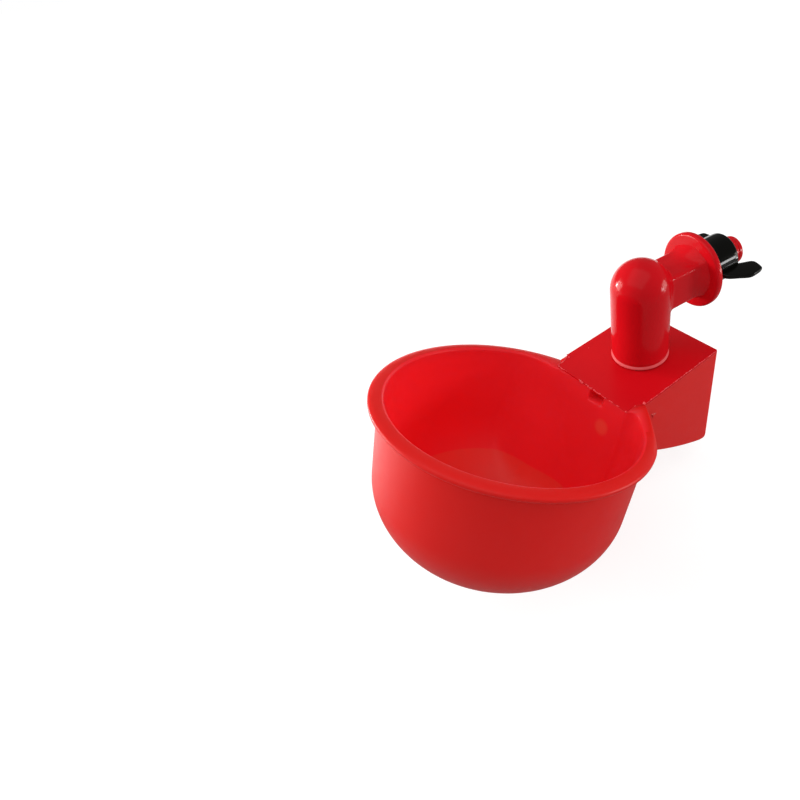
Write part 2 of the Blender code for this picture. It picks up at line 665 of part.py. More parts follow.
paint(make_elbow(spigot_axis, stem_axis), elbow_plastic)
paint(make_sealing_washer(spigot_axis), rubber)
paint(make_wing_nut(spigot_axis), black_plastic)
paint(make_cup(bowl_axis, cup_axis), red_plastic)
paint(make_lid(cup_axis), red_plastic)
paint(make_thrust_washer(stem_axis), white_plastic)
paint(make_spring(stem_axis), steel)
paint(make_valve_seat(stem_axis), white_plastic)
paint(make_valve_rod(cup_axis), white_plastic)
paint(make_valve_seal(cup_axis), rubber)
paint(make_rod_seal(cup_axis), rubber)
paint(make_adjusting_nut(cup_axis), black_plastic)
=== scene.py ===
import math

import bmesh
import bpy
import numpy as np
from mathutils import Matrix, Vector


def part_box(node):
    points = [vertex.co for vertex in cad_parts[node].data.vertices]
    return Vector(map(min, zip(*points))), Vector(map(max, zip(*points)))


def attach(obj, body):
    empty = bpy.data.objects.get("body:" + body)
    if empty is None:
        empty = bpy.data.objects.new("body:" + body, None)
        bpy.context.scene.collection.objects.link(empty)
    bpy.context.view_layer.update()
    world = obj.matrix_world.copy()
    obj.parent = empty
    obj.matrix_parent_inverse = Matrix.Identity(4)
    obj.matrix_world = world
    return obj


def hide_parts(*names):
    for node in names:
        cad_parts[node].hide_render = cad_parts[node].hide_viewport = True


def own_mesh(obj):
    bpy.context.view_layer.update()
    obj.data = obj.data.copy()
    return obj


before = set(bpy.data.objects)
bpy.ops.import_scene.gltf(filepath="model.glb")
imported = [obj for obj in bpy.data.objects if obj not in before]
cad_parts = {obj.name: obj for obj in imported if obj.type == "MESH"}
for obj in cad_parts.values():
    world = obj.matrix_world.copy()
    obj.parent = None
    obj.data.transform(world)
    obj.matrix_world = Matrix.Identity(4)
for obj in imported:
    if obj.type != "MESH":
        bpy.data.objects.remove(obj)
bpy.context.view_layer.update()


# The elbow: one moulding of red plastic, glossier and a little darker than the cup's. The domed stem
# carries the cup, the square arm turns into a round flared neck, and the flange bears on the wall with
# the threaded spigot behind it. All sheets are in millimetres.
STEM_X = -22.7        # stem's axis, in front of the flange's rear face
LID_Z = -22.4         # top of the lid, below the spigot's axis
STEM_RADIUS = 9.4
DOME_Z = 2.6          # centre of the stem's round top
TUBE_RADIUS = 5.5     # neck tube under the lid
TUBE_END = -14.7 + LID_Z
ARM_SIDE = 6.35       # half the arm's width
ARM_RISE = 5.9        # half its height
SPIGOT_RADIUS = 4.6
SPIGOT_END = 17.8


def skin(name, *sheets):
    """Mesh of one or more sheets of points in millimetres, each a grid (rows, columns, 3).

    The four points round a cell make a face. Points that lie together are merged, so that seams
    and poles are closed, and each closed shell is turned to face outwards.
    """
    points = []
    faces = []
    start = 0
    for sheet in sheets:
        rows, columns = sheet.shape[:2]
        index = np.arange(rows * columns).reshape(rows, columns) + start
        cells = np.stack([index[:-1, :-1], index[:-1, 1:], index[1:, 1:], index[1:, :-1]], axis=-1)
        points.append(sheet.reshape(-1, 3) * 0.001)
        faces.append(cells.reshape(-1, 4))
        start += rows * columns
    mesh = bpy.data.meshes.new(name)
    mesh.from_pydata(np.concatenate(points).tolist(), [], np.concatenate(faces).tolist())
    body = bmesh.new()
    body.from_mesh(mesh)
    bmesh.ops.remove_doubles(body, verts=body.verts, dist=2e-7)
    bmesh.ops.dissolve_degenerate(body, edges=body.edges, dist=1e-8)
    bmesh.ops.recalc_face_normals(body, faces=body.faces)
    body.to_mesh(mesh)
    body.free()
    return mesh


def piece(name, mesh, material, body, replaced=(), sharp=35):
    """Object of a mesh: smooth apart from real edges, painted, riding on its body."""
    thing = bpy.data.objects.new(name, mesh)
    bpy.context.scene.collection.objects.link(thing)
    mesh.shade_smooth()
    mesh.set_sharp_from_angle(angle=math.radians(sharp))
    mesh.materials.append(material)
    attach(thing, body)
    if replaced:
        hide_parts(*replaced)
    return thing


def turned(profile, count, along="z"):
    """Sheet of a profile (radius, height) carried round an axis: x = r cos a, y = r sin a."""
    profile = np.asarray(profile, float)
    angle = np.linspace(0, 2 * np.pi, count + 1)
    angle[-1] = 0.0
    radius = profile[:, 0][:, None]
    height = profile[:, 1][:, None] * np.ones_like(angle)
    across, side = radius * np.cos(angle), radius * np.sin(angle)
    if along == "x":
        return np.stack([height, across, side], axis=-1)
    return np.stack([across, side, height], axis=-1)


def arc(middle, radius, start, end, count):
    """Points of a round corner in a profile, angles in degrees."""
    angle = np.radians(np.linspace(start, end, count + 1))
    return np.stack([middle[0] + radius * np.cos(angle), middle[1] + radius * np.sin(angle)], axis=-1)


def joined(*parts):
    """One profile from several runs of points, with the straights cut into short steps."""
    line = np.concatenate([np.atleast_2d(np.asarray(part, float)) for part in parts])
    steps = []
    for first, second in zip(line[:-1], line[1:]):
        count = max(1, int(math.ceil(np.linalg.norm(second - first) / 1.6)))
        steps.append(first + (second - first) * np.arange(count)[:, None] / count)
    return np.concatenate(steps + [line[-1:]])


def bend(start, pull, end, count):
    """Points of a soft bend from start to end, drawn towards a third point: a quadratic curve."""
    share = np.linspace(0, 1, count + 1)[:, None]
    return (1 - share) ** 2 * start + 2 * share * (1 - share) * pull + share ** 2 * end


def smooth_step(value):
    """Soft step: 0 below 0, 1 above 1, three squares less two cubes between."""
    share = np.clip(value, 0, 1)
    return share ** 2 * (3 - 2 * share)


def stem_sheet():
    """Dome, straight stem, a fine groove, the narrower foot and the neck tube with its bore.

    They are one profile, from the top of the dome to the top of the bore, carried round the axis.
    """
    profile = joined(
        arc((0, DOME_Z), STEM_RADIUS, 90, 0, 26),
        [(STEM_RADIUS, 2.75 + LID_Z)],
        arc((9.15, 2.6 + LID_Z), 0.25, 30, -60, 4),
        [(8.85, 2.2 + LID_Z)],
        arc((8.9, 1.95 + LID_Z), 0.2, 90, 0, 4),
        arc((8.7, 0.65 + LID_Z), 0.35, 0, -80, 4),
        [(TUBE_RADIUS, 0.3 + LID_Z), (TUBE_RADIUS, TUBE_END + 0.3), (TUBE_RADIUS - 0.3, TUBE_END)],
        [(3.7, TUBE_END), (3.7, -6.0 + LID_Z), (3.0, -6.0 + LID_Z), (3.0, -1.4), (0, -1.4)])
    return turned(profile, 160) + np.array([STEM_X, 0, 0])


def arm_sheet():
    """Square arm that flares out round into the flange and grows out of the stem with a soft root.

    The section is the superellipse |y / w| ** 11 + |z / h| ** 11 = 1. Towards the flange it is the
    smooth maximum of that and a circle whose radius grows with a power of the way. At the root the
    surface is where the smooth minimum of the distances to stem and arm is zero, found by halving.
    """
    along = np.concatenate([np.linspace(3.0, 12.0, 91), np.linspace(12.2, 20.6, 50)])
    angle = np.linspace(0, 2 * np.pi, 241)
    angle[-1] = 0.0
    x = along[:, None]
    cosine, sine = np.cos(angle)[None, :], np.sin(angle)[None, :]
    square = (np.abs(cosine / ARM_SIDE) ** 11 + np.abs(sine / ARM_RISE) ** 11) ** (-1 / 11) + 0 * x
    flare = 4.6 + 4.2 * np.clip((x - 13.4) / 7.1, 0, 1) ** 1.5
    blend = 2.4
    apart = np.maximum(blend - np.abs(square - flare), 0)
    section = np.maximum(square, flare) + apart ** 2 / (4 * blend)
    soft = 1.0
    low, high = section, section + soft
    for _ in range(30):
        reach = 0.5 * (low + high)
        above = np.maximum(reach * sine - DOME_Z, 0)
        from_stem = np.sqrt(x ** 2 + (reach * cosine) ** 2 + above ** 2) - STEM_RADIUS
        from_arm = reach - section
        apart = np.maximum(soft - np.abs(from_stem - from_arm), 0)
        outside = np.minimum(from_stem, from_arm) - apart ** 2 / (4 * soft) > 0
        low, high = np.where(outside, low, reach), np.where(outside, reach, high)
    sheet = np.stack([x + STEM_X + 0 * low, low * cosine, low * sine], axis=-1)
    first_end = np.repeat(sheet[:1].mean(axis=1, keepdims=True), sheet.shape[1], axis=1)
    last_end = np.repeat(sheet[-1:].mean(axis=1, keepdims=True), sheet.shape[1], axis=1)
    return np.concatenate([first_end, sheet, last_end])


def flange_sheet():
    """Flange: a round plate, 2.2 thick, with a round on both rims. The profile goes round the x axis."""
    profile = joined(
        [(0, -2.2), (7.2, -2.2)],
        arc((11.35, -1.35), 0.85, -90, 0, 6),
        arc((11.7, -0.5), 0.5, 0, 90, 5),
        [(4.0, 0.0), (0, 0.0)])
    return turned(profile, 160, "x")


def spigot_sheet():
    """Threaded spigot with its bore: a low ridge winds round and fades out at both ends.

    The ridge is a rounded wave of x / pitch + a / 2 pi, and the radius is least between two ridges.
    """
    pitch = 1.5
    ridge_height = 0.22
    chamfer = 0.6
    x = np.linspace(-1.0, SPIGOT_END, 300)[:, None]
    angle = np.linspace(0, 2 * np.pi, 97)[None, :]
    phase = (x / pitch + angle / (2 * np.pi)) % 1.0
    ridge = smooth_step(1.6 - 3.6 * np.abs(phase - 0.5))
    fade = np.clip((x - 1.2) / 1.2, 0, 1) * np.clip((16.9 - x) / 0.8, 0, 1)
    radius = SPIGOT_RADIUS - ridge_height * (1 - ridge) * fade
    radius = radius - 0.5 * np.clip((x - SPIGOT_END + chamfer) / chamfer, 0, 1) ** 2
    side = np.stack([x + 0 * angle, radius * np.cos(angle), radius * np.sin(angle)], axis=-1)
    edge = np.array([3.3, 2.75, 2.5, 2.5, 0.0])[:, None]
    depth = np.array([SPIGOT_END, SPIGOT_END, SPIGOT_END - 0.3, -1.0, -1.0])[:, None]
    bore = np.stack([depth + 0 * angle, edge * np.cos(angle), edge * np.sin(angle)], axis=-1)
    sheet = np.concatenate([side, bore])
    sheet[:, -1] = sheet[:, 0]
    return sheet


def plastic(name, colour, pale, roughness, scale, bump, gloss=0.5, scuffs=0.05):
    """Moulded plastic: the colour drifts a little, fine scuffs change the gloss, faint orange peel."""
    material = bpy.data.materials.new(name)
    material.use_nodes = True
    nodes, links = material.node_tree.nodes, material.node_tree.links
    shader = nodes["Principled BSDF"]
    place = nodes.new("ShaderNodeTexCoord")
    drift = nodes.new("ShaderNodeTexNoise")
    drift.inputs["Scale"].default_value = scale
    drift.inputs["Detail"].default_value = 3.0
    ramp = nodes.new("ShaderNodeValToRGB")
    ramp.color_ramp.elements[0].position = 0.3
    ramp.color_ramp.elements[0].color = (*colour, 1)
    ramp.color_ramp.elements[1].position = 0.85
    ramp.color_ramp.elements[1].color = (*pale, 1)
    links.new(place.outputs["Object"], drift.inputs["Vector"])
    links.new(drift.outputs["Fac"], ramp.inputs["Fac"])
    links.new(ramp.outputs["Color"], shader.inputs["Base Color"])
    scuff = nodes.new("ShaderNodeTexNoise")
    scuff.inputs["Scale"].default_value = scale * 14
    scuff.inputs["Detail"].default_value = 5.0
    scuff.inputs["Roughness"].default_value = 0.6
    links.new(place.outputs["Object"], scuff.inputs["Vector"])
    shine = nodes.new("ShaderNodeMapRange")
    shine.inputs["From Min"].default_value = 0.35
    shine.inputs["From Max"].default_value = 0.75
    shine.inputs["To Min"].default_value = roughness
    shine.inputs["To Max"].default_value = roughness + scuffs
    links.new(scuff.outputs["Fac"], shine.inputs["Value"])
    links.new(shine.outputs["Result"], shader.inputs["Roughness"])
    peel = nodes.new("ShaderNodeTexNoise")
    peel.inputs["Scale"].default_value = scale * 9
    peel.inputs["Detail"].default_value = 2.0
    links.new(place.outputs["Object"], peel.inputs["Vector"])
    relief = nodes.new("ShaderNodeBump")
    relief.inputs["Strength"].default_value = bump
    relief.inputs["Distance"].default_value = 0.0002
    links.new(peel.outputs["Fac"], relief.inputs["Height"])
    links.new(relief.outputs["Normal"], shader.inputs["Normal"])
    shader.inputs["IOR"].default_value = 1.49
    shader.inputs["Specular IOR Level"].default_value = gloss
    return material


def foot_edge_sheet():
    """Thin flash edge round the foot of the stem, coloured pale as a painted sheen: a round lip's profile
    carried round the axis.
    """
    profile = joined(
        [(8.5, 0.32 + LID_Z), (9.05, 0.32 + LID_Z)],
        arc((9.05, 0.84 + LID_Z), 0.52, -90, 60, 8),
        [(8.8, 1.75 + LID_Z), (8.5, 1.75 + LID_Z), (8.5, 0.32 + LID_Z)])
    return turned(profile, 160) + np.array([STEM_X, 0, 0])


elbow_red = plastic("elbow_red_plastic", (0.64, 0.0045, 0.010), (0.69, 0.007, 0.013),
                    roughness=0.15, scale=30, bump=0.04, gloss=0.17)
# Painted light: the foot edge's pale colour is a painted sheen on its lip.
painted_sheen_edge = plastic("painted_sheen_foot_edge", (0.78, 0.08, 0.09), (0.88, 0.15, 0.16),
                    roughness=0.45, scale=60, bump=0.05, gloss=0.25)
piece("elbow_moulding", skin("elbow_moulding", stem_sheet(), arm_sheet(), flange_sheet(), spigot_sheet()),
      elbow_red, "elbow", ("elbow",))
piece("stem_foot_edge", skin("stem_foot_edge", foot_edge_sheet()), painted_sheen_edge, "elbow")


# The cup: one moulding of red plastic, thin enough to glow a little. It has the tilted round bowl with
# its rim ring, the flat partition with the water outlet, and the block with the slanting underside. It
# hangs on the stem and stands turned by 5.9 degrees.
CUP_TURN = math.radians(5.9)
BOWL_TILT = math.radians(24.5)
RIM_CENTRE = np.array([-49.65, 0.0, 11.5])      # in the lid's frame
BOWL_X = np.array([math.cos(BOWL_TILT), 0.0, -math.sin(BOWL_TILT)])
BOWL_UP = np.array([math.sin(BOWL_TILT), 0.0, math.cos(BOWL_TILT)])
INNER_RADIUS = 36.6
OUTER_RADIUS = 38.3
WALL_END = -24.8          # on the bowl's axis, where the round bottom starts
INNER_DEPTH = 27.0        # the round bottom, inside and outside
OUTER_DEPTH = 28.7
PARTITION = 28.85         # from the bowl's axis
PARTITION_HALF = 15.9     # half the width, at its near corner
BLOCK_HALF = 17.75
BLOCK_BACK = 18.3         # from the stem's axis
BLOCK_CORNER_Z = -42.5


def hung(points):
    """From the lid's frame to the object's: turned about the stem axis, then set under the stem."""
    x, y, z = points[..., 0], points[..., 1], points[..., 2]
    cosine, sine = math.cos(CUP_TURN), math.sin(CUP_TURN)
    return np.stack([x * cosine - y * sine + STEM_X, x * sine + y * cosine, z + LID_Z], axis=-1)


def tipped(points):
    """From the bowl's frame (x to the block, y, z up its axis from the rim) to the lid's frame."""
    x, y, z = points[..., 0:1], points[..., 1:2], points[..., 2:3]
    return RIM_CENTRE + x * BOWL_X + y * np.array([0, 1.0, 0]) + z * BOWL_UP


def wall_limit(angle):
    """Distance from the bowl axis at which the partition stops the bowl's wall, by the angle.

    On the near side it follows a line in plan: the flat partition, a round corner, a short slanting
    face and a hollow corner into the round wall. On the far side the flat simply runs on.
    """
    corner = np.array([PARTITION, PARTITION_HALF])
    meet = np.array([31.6, 19.6])
    slant = (meet - corner) / np.linalg.norm(meet - corner)
    size = 0.9
    round_corner = bend(corner - [0, size], corner, corner + slant * size, 12)
    hollow_corner = bend(corner + slant * size, meet, np.array([27.6, 25.5]), 12)
    past_the_wall = [[20.0, 40.0], [0.0, 60.0], [-30.0, 60.0]]
    line = np.concatenate([[[PARTITION, 0.0]], round_corner, hollow_corner, past_the_wall])
    turn = np.arctan2(line[:, 1], line[:, 0])
    side = np.clip(-angle, 0, turn[-1])
    index = np.clip(np.searchsorted(turn, side) - 1, 0, len(line) - 2)
    a, b = line[index], line[index + 1]
    cross = (b[:, 0] - a[:, 0]) * np.sin(side) - (b[:, 1] - a[:, 1]) * np.cos(side)
    near = ((b[:, 0] - a[:, 0]) * a[:, 1] - (b[:, 1] - a[:, 1]) * a[:, 0]) / cross
    near = np.where(-angle < turn[-1], near, 90.0)
    far = PARTITION / np.maximum(np.cos(angle), 0.3)
    return np.where(angle < 0, near, far)


def bowl_profile():
    """Section of the bowl as (radius, height), and a mark on each point that belongs to the inside.

    It runs from the inner bottom up the inner wall, over the rim ring and down the outer wall. Both
    bottoms are quarter ellipses, the ring's crown is a flatter one.
    """
    angle = np.radians(np.linspace(90, 0, 40))
    inner = np.stack([INNER_RADIUS * np.cos(angle), WALL_END - INNER_DEPTH * np.sin(angle)], axis=-1)
    inner[0, 0] = 0.0
    back = angle[::-1]
    outer = np.stack([OUTER_RADIUS * np.cos(back), WALL_END - OUTER_DEPTH * np.sin(back)], axis=-1)
    outer[-1, 0] = 0.0
    beside_slot = np.stack([np.full(30, INNER_RADIUS), np.linspace(-8.0, -1.2, 30)], axis=-1)
    crown = arc((0, 0), 1.0, 88, 4, 12) * [2.45, 0.9] + [OUTER_RADIUS, -0.9]
    profile = joined(
        inner,
        beside_slot,
        arc((37.5, -0.9), 0.9, 180, 96, 6),
        crown,
        arc((39.95, -1.25), 0.8, -4, -86, 5),
        arc((39.5, -3.25), 1.2, 92, 180, 6),
        outer)
    return profile, np.arange(len(profile)) <= np.argmax(profile[:, 1] > -0.02)


def bowl_sheet():
    """The bowl's section carried round its axis, in columns that stand closer near the partition.

    On the inside the radius is a smooth minimum of the section's and the partition's. On the near
    side of the block the ring gets slimmer, its height is a smooth maximum with the lid's level, and
    the rise fades out down the wall. The outlet is a pit in the partition: a product of soft steps.
    """
    profile, inside = bowl_profile()
    spans = ((-180, -50, 105), (-49.5, -23, 80), (-22.7, 22.7, 170), (23.1, 49.6, 70), (50, 180, 105))
    angle = np.concatenate([np.radians(np.linspace(*span)) for span in spans])
    radius = profile[:, 0][:, None] + 0 * angle
    height = profile[:, 1][:, None] + 0 * angle
    limit = wall_limit(angle)[None, :] + 0 * radius
    soft = 1.6 + 11.0 * smooth_step((-10 - height) / 26) + 9.0 * smooth_step(angle / 0.55)[None, :]
    share = np.clip(0.5 + 0.5 * (limit - radius) / soft, 0, 1)
    least = limit * (1 - share) + radius * share - soft * share * (1 - share)
    radius = np.where(inside[:, None], np.minimum(radius, least), radius)
    slim = 0.62 * smooth_step((angle + 1.05) / 0.5) * (angle < 0)
    ring_foot = 38.6
    on_ring = ~inside[:, None] & (radius > ring_foot)
    radius = np.where(on_ring, ring_foot + (radius - ring_foot) * (1 - slim), radius)
    radius[0] = 0.0
    x, y = radius * np.cos(angle), radius * np.sin(angle)

    flat = inside[:, None] & (x > PARTITION - 1.5) & (np.abs(angle) < 0.6)
    pit = smooth_step((-0.2 - y) / 1.0) * smooth_step((y + 7.4) / 4.6)
    pit = pit * smooth_step((-0.4 - height) / 0.4) * smooth_step((height + 4.1) / 1.5)
    outlet_depth = 4.2
    x = x + np.where(flat, outlet_depth * pit, 0)
    place = tipped(np.stack([x, y, height], axis=-1))

    level = RIM_CENTRE[2] - math.sin(BOWL_TILT) * np.clip(radius, 30, 41) * np.cos(angle)
    over = -0.15 - level
    soft = 1.3
    rise = np.where(over > soft, over, np.where(over < -soft, 0, (over + soft) ** 2 / (4 * soft)))
    rise = rise / math.cos(BOWL_TILT) * smooth_step((height + 8.5) / 7.0) * smooth_step((2 - y) / 6)
    place = place + rise[..., None] * BOWL_UP

    across = np.abs(place[..., 1])
    under_lid = (place[..., 0] > -23.5) & (across < 16.2) | (place[..., 0] > -19.8) & (across < 18.0)
    place[..., 2] = np.where(under_lid, np.minimum(place[..., 2], -0.2), place[..., 2])
    place[:, -1] = place[:, 0]
    return hung(place)


def block_mesh():
    """The block: an outline in the x-z plane between the two side faces.

    The underside's height is z = -42.5 + 0.49 s + 0.00434 s squared, with s the way from the bottom
    corner towards the bowl. The edges under the lid stay square, the others get rounded. The front
    end of the outline lies within the bowl's wall and ring.
    """
    start = 15.2
    way = np.linspace(-0.9, 46.0, 40)
    under = np.stack([start - way, BLOCK_CORNER_Z + 0.49 * way + 0.00434 * way ** 2], axis=-1)
    under = under[(under[:, 0] < start) & (under[:, 0] > -27.0)]
    corner = arc((BLOCK_BACK - 1.8, -41.4), 1.8, 0, -62, 8)
    outline = np.concatenate([[(-20.0, -0.5), (BLOCK_BACK, -0.5)], corner, under, [(-24.0, -14.0)]])
    mesh = bpy.data.meshes.new("cup_block")
    count = len(outline)
    near = np.stack([outline[:, 0], np.full(count, -BLOCK_HALF), outline[:, 1]], axis=-1)
    far = near * [1, -1, 1]
    ring = np.arange(count)
    after = (ring + 1) % count
    sides = np.stack([ring, after, after + count, ring + count], axis=-1).tolist()
    mesh.from_pydata((hung(np.concatenate([near, far])) * 0.001).tolist(), [],
                     sides + [ring[::-1].tolist(), (ring + count).tolist()])
    ends = np.zeros(len(mesh.edges) * 2, dtype=np.int32)
    mesh.edges.foreach_get("vertices", ends)
    ends = ends.reshape(-1, 2)
    top = np.concatenate([near, far])[:, 2] > -0.6
    weight = 1.0 - (top[ends[:, 0]] & top[ends[:, 1]])
    bevel = mesh.attributes.new("bevel_weight_edge", "FLOAT", "EDGE")
    bevel.data.foreach_set("value", weight.astype(np.float32))
    return mesh


def boss_sheet():
    """Round boss under the block, with the hole the valve rod goes through."""
    hole, radius = 1.8, 6.0
    top, foot = -26.5, -38.3
    edge = 0.3
    profile = joined([(hole, top), (radius, top), (radius, foot + edge), (radius - edge, foot),
                      (hole + edge, foot), (hole, foot + edge), (hole, top)])
    return hung(turned(profile, 96))


def gate_mark_sheet():
    """Small three-cornered gate mark on the block's near side: an outline drawn in to a low top."""
    outline = np.array([(-13.9, -6.6), (-11.5, -7.7), (-13.1, -9.2), (-13.9, -6.6)])
    middle = outline[:3].mean(axis=0)
    size = np.array([0.0, 1.0, 1.0, 0.55, 0.0])[:, None, None]
    flat = middle + (outline - middle) * size
    out = np.array([0.4, 0.4, 0.02, -0.28, -0.28])[:, None] - BLOCK_HALF
    return hung(np.stack([flat[..., 0], out + 0 * flat[..., 0], flat[..., 1]], axis=-1))


def mark_inside(mesh):
    """Point attribute that is 1 within the middle of the bowl's wall and 0 elsewhere: the cup's material
    paints the inside paler there as a glow.

    Within means less than 37.2 from the axis above the round bottom, and inside its ellipsoid below.
    """
    radius = INNER_RADIUS + 0.6
    depth = INNER_DEPTH + 0.5
    points = np.zeros(len(mesh.vertices) * 3, dtype=np.float32)
    mesh.vertices.foreach_get("co", points)
    middle = hung(RIM_CENTRE)
    away = points.reshape(-1, 3) * 1000 - middle
    height = away @ (hung(BOWL_UP) - hung(np.zeros(3)))
    across = np.sqrt(np.maximum((away ** 2).sum(axis=1) - height ** 2, 0))
    below = np.clip((WALL_END - height) / depth, 0, None)
    within = (across / radius) ** 2 + below ** 2 < 1
    inside = mesh.attributes.new("inside", "FLOAT", "POINT")
    inside.data.foreach_set("value", within.astype(np.float32))
    return mesh


def add_painted_light_places(material):
    """Painted light in the cup's colour: paler inside the bowl as a painted glow, a painted patch of light
    low in it by the depth along its axis, and a painted highlight in a small round spot.
    """
    nodes, links = material.node_tree.nodes, material.node_tree.links
    shader = nodes["Principled BSDF"]
    red = shader.inputs["Base Color"].links[0].from_socket
    place = nodes.new("ShaderNodeTexCoord")
    within = nodes.new("ShaderNodeAttribute")
    within.attribute_name = "inside"
    inside = nodes.new("ShaderNodeMapRange")
    links.new(within.outputs["Fac"], inside.inputs["Value"])
    axis = hung(BOWL_UP) - hung(np.zeros(3))
    deepest = hung(tipped(np.array([0.0, 0.0, -37.8]))) * 0.001
    highlight_spot_middle = hung(tipped(np.array([PARTITION, -8.8, -9.3]))) * 0.001
    deep = nodes.new("ShaderNodeVectorMath")
    deep.operation = "DOT_PRODUCT"
    deep.inputs[1].default_value = axis
    links.new(place.outputs["Object"], deep.inputs[0])
    low_light_patch = nodes.new("ShaderNodeMapRange")
    low_light_patch.inputs["From Min"].default_value = float(axis @ deepest) + 0.0003
    low_light_patch.inputs["From Max"].default_value = float(axis @ deepest) - 0.0003
    low_light_patch.inputs["To Max"].default_value = 0.8
    links.new(deep.outputs["Value"], low_light_patch.inputs["Value"])
    low_light_inside = nodes.new("ShaderNodeMath")
    low_light_inside.operation = "MULTIPLY"
    links.new(low_light_patch.outputs["Result"], low_light_inside.inputs[0])
    links.new(inside.outputs["Result"], low_light_inside.inputs[1])
    apart = nodes.new("ShaderNodeVectorMath")
    apart.operation = "DISTANCE"
    apart.inputs[1].default_value = highlight_spot_middle
    links.new(place.outputs["Object"], apart.inputs[0])
    highlight_spot = nodes.new("ShaderNodeMapRange")
    highlight_spot.inputs["From Min"].default_value = 0.0031
    highlight_spot.inputs["From Max"].default_value = 0.0019
    highlight_spot.inputs["To Max"].default_value = 0.75
    links.new(apart.outputs["Value"], highlight_spot.inputs["Value"])
    # Painted light: the inside colour is a painted glow, the low colour a painted patch of light, the spot's
    # colour a painted highlight.
    for share, colour in ((inside.outputs["Result"], (0.95, 0.020, 0.031)),
                          (low_light_inside.outputs["Value"], (0.90, 0.055, 0.040)),
                          (highlight_spot.outputs["Result"], (0.96, 0.085, 0.055))):
        mix = nodes.new("ShaderNodeMix")
        mix.data_type = "RGBA"
        mix.inputs["B"].default_value = (*colour, 1)
        links.new(share, mix.inputs["Factor"])
        links.new(red, mix.inputs["A"])
        red = mix.outputs["Result"]
    links.new(red, shader.inputs["Base Color"])


cup_red = plastic("cup_red_plastic", (0.77, 0.009, 0.008), (0.81, 0.013, 0.010),
                  roughness=0.34, scale=22, bump=0.04, gloss=0.24)
thin_wall = cup_red.node_tree.nodes["Principled BSDF"]
thin_wall.inputs["Subsurface Weight"].default_value = 0.45
thin_wall.inputs["Subsurface Radius"].default_value = (1.0, 0.12, 0.06)
thin_wall.inputs["Subsurface Scale"].default_value = 0.006
# Painted light: the bowl's inside gets a painted glow, a painted patch of light low down and a painted
# highlight spot on the partition.
add_painted_light_places(cup_red)
piece("cup_bowl", mark_inside(skin("cup_bowl", bowl_sheet(), boss_sheet())),
      cup_red, "cup", ("cup",), sharp=75)
block = piece("cup_block", block_mesh(), cup_red, "cup", ("cup",))
piece("cup_gate_mark", skin("cup_gate_mark", gate_mark_sheet()), cup_red, "cup", sharp=10)
round_edges = block.modifiers.new("Rounded edges", "BEVEL")
round_edges.width = 0.0004
round_edges.segments = 3
round_edges.limit_method = "WEIGHT"


# The lid: a flat plate of red plastic welded on the block. Its corners over the bowl are stepped, a
# round hole lets the neck tube through, and small beads of weld flash stand along its edges.
LID_FRONT = -23.2         # the edge over the bowl, from the stem's axis
LID_THICKNESS = 0.88
TUBE_HOLE = 6.0


def lid_outline():
    """Outline of the lid in its own frame, as corners with small rounds."""
    half = np.array([(BLOCK_BACK, BLOCK_HALF), (-17.0, BLOCK_HALF),
                     (-19.4, PARTITION_HALF), (LID_FRONT, PARTITION_HALF)])
    other = half[::-1] * [1, -1]
    corners = np.concatenate([half, other])
    rounds = [0.25, 0.5, 0.5, 0.3, 0.3, 0.5, 0.5, 0.25]
    line = []
    for index, (corner, size) in enumerate(zip(corners, rounds)):
        before = corners[index - 1] - corner
        after = corners[(index + 1) % len(corners)] - corner
        start = corner + before / np.linalg.norm(before) * size
        end = corner + after / np.linalg.norm(after) * size
        line.append(bend(start, corner, end, 4))
    return np.concatenate(line)


def lid_sheet():
    """The plate as rings from the hole's edge out to the outline and round to the underside.

    A ring is a blend of the hole's circle and the outline, point by point at equal angles, drawn in
    a little at the outer edge and out a little at the hole.
    """
    angle = np.linspace(-np.pi, np.pi, 721)
    line = lid_outline()
    dense = np.concatenate([line, line[:1]])
    share = np.linspace(0, 1, 120, endpoint=False)[None, :, None]
    many = (dense[:-1, None] + (dense[1:] - dense[:-1])[:, None] * share).reshape(-1, 2)
    many = many[np.argsort(np.arctan2(many[:, 1], many[:, 0]))]
    turn = np.arctan2(many[:, 1], many[:, 0])
    reach = np.interp(angle, turn, np.hypot(many[:, 0], many[:, 1]), period=2 * np.pi)
    edge = np.stack([reach * np.cos(angle), reach * np.sin(angle)], axis=-1)
    hole = np.stack([TUBE_HOLE * np.cos(angle), TUBE_HOLE * np.sin(angle)], axis=-1)
    steps = [(0, 0, -LID_THICKNESS), (0, 0, -0.3), (0, 0.1, 0)]
    steps += [(share, 0, 0) for share in np.linspace(0.1, 0.9, 9)]
    steps += [(1, -0.10, 0), (1, -0.03, -0.03), (1, 0, -0.10), (1, 0, -LID_THICKNESS), (0, 0, -LID_THICKNESS)]
    rows = []
    for share, outset, height in steps:
        ring = hole * (1 - share) + edge * share
        length = np.linalg.norm(ring, axis=-1, keepdims=True)
        ring = ring * (length + outset) / length
        rows.append(np.concatenate([ring, np.full((len(angle), 1), height)], axis=-1))
    sheet = np.stack(rows)
    sheet[:, -1] = sheet[:, 0]
    return hung(sheet)


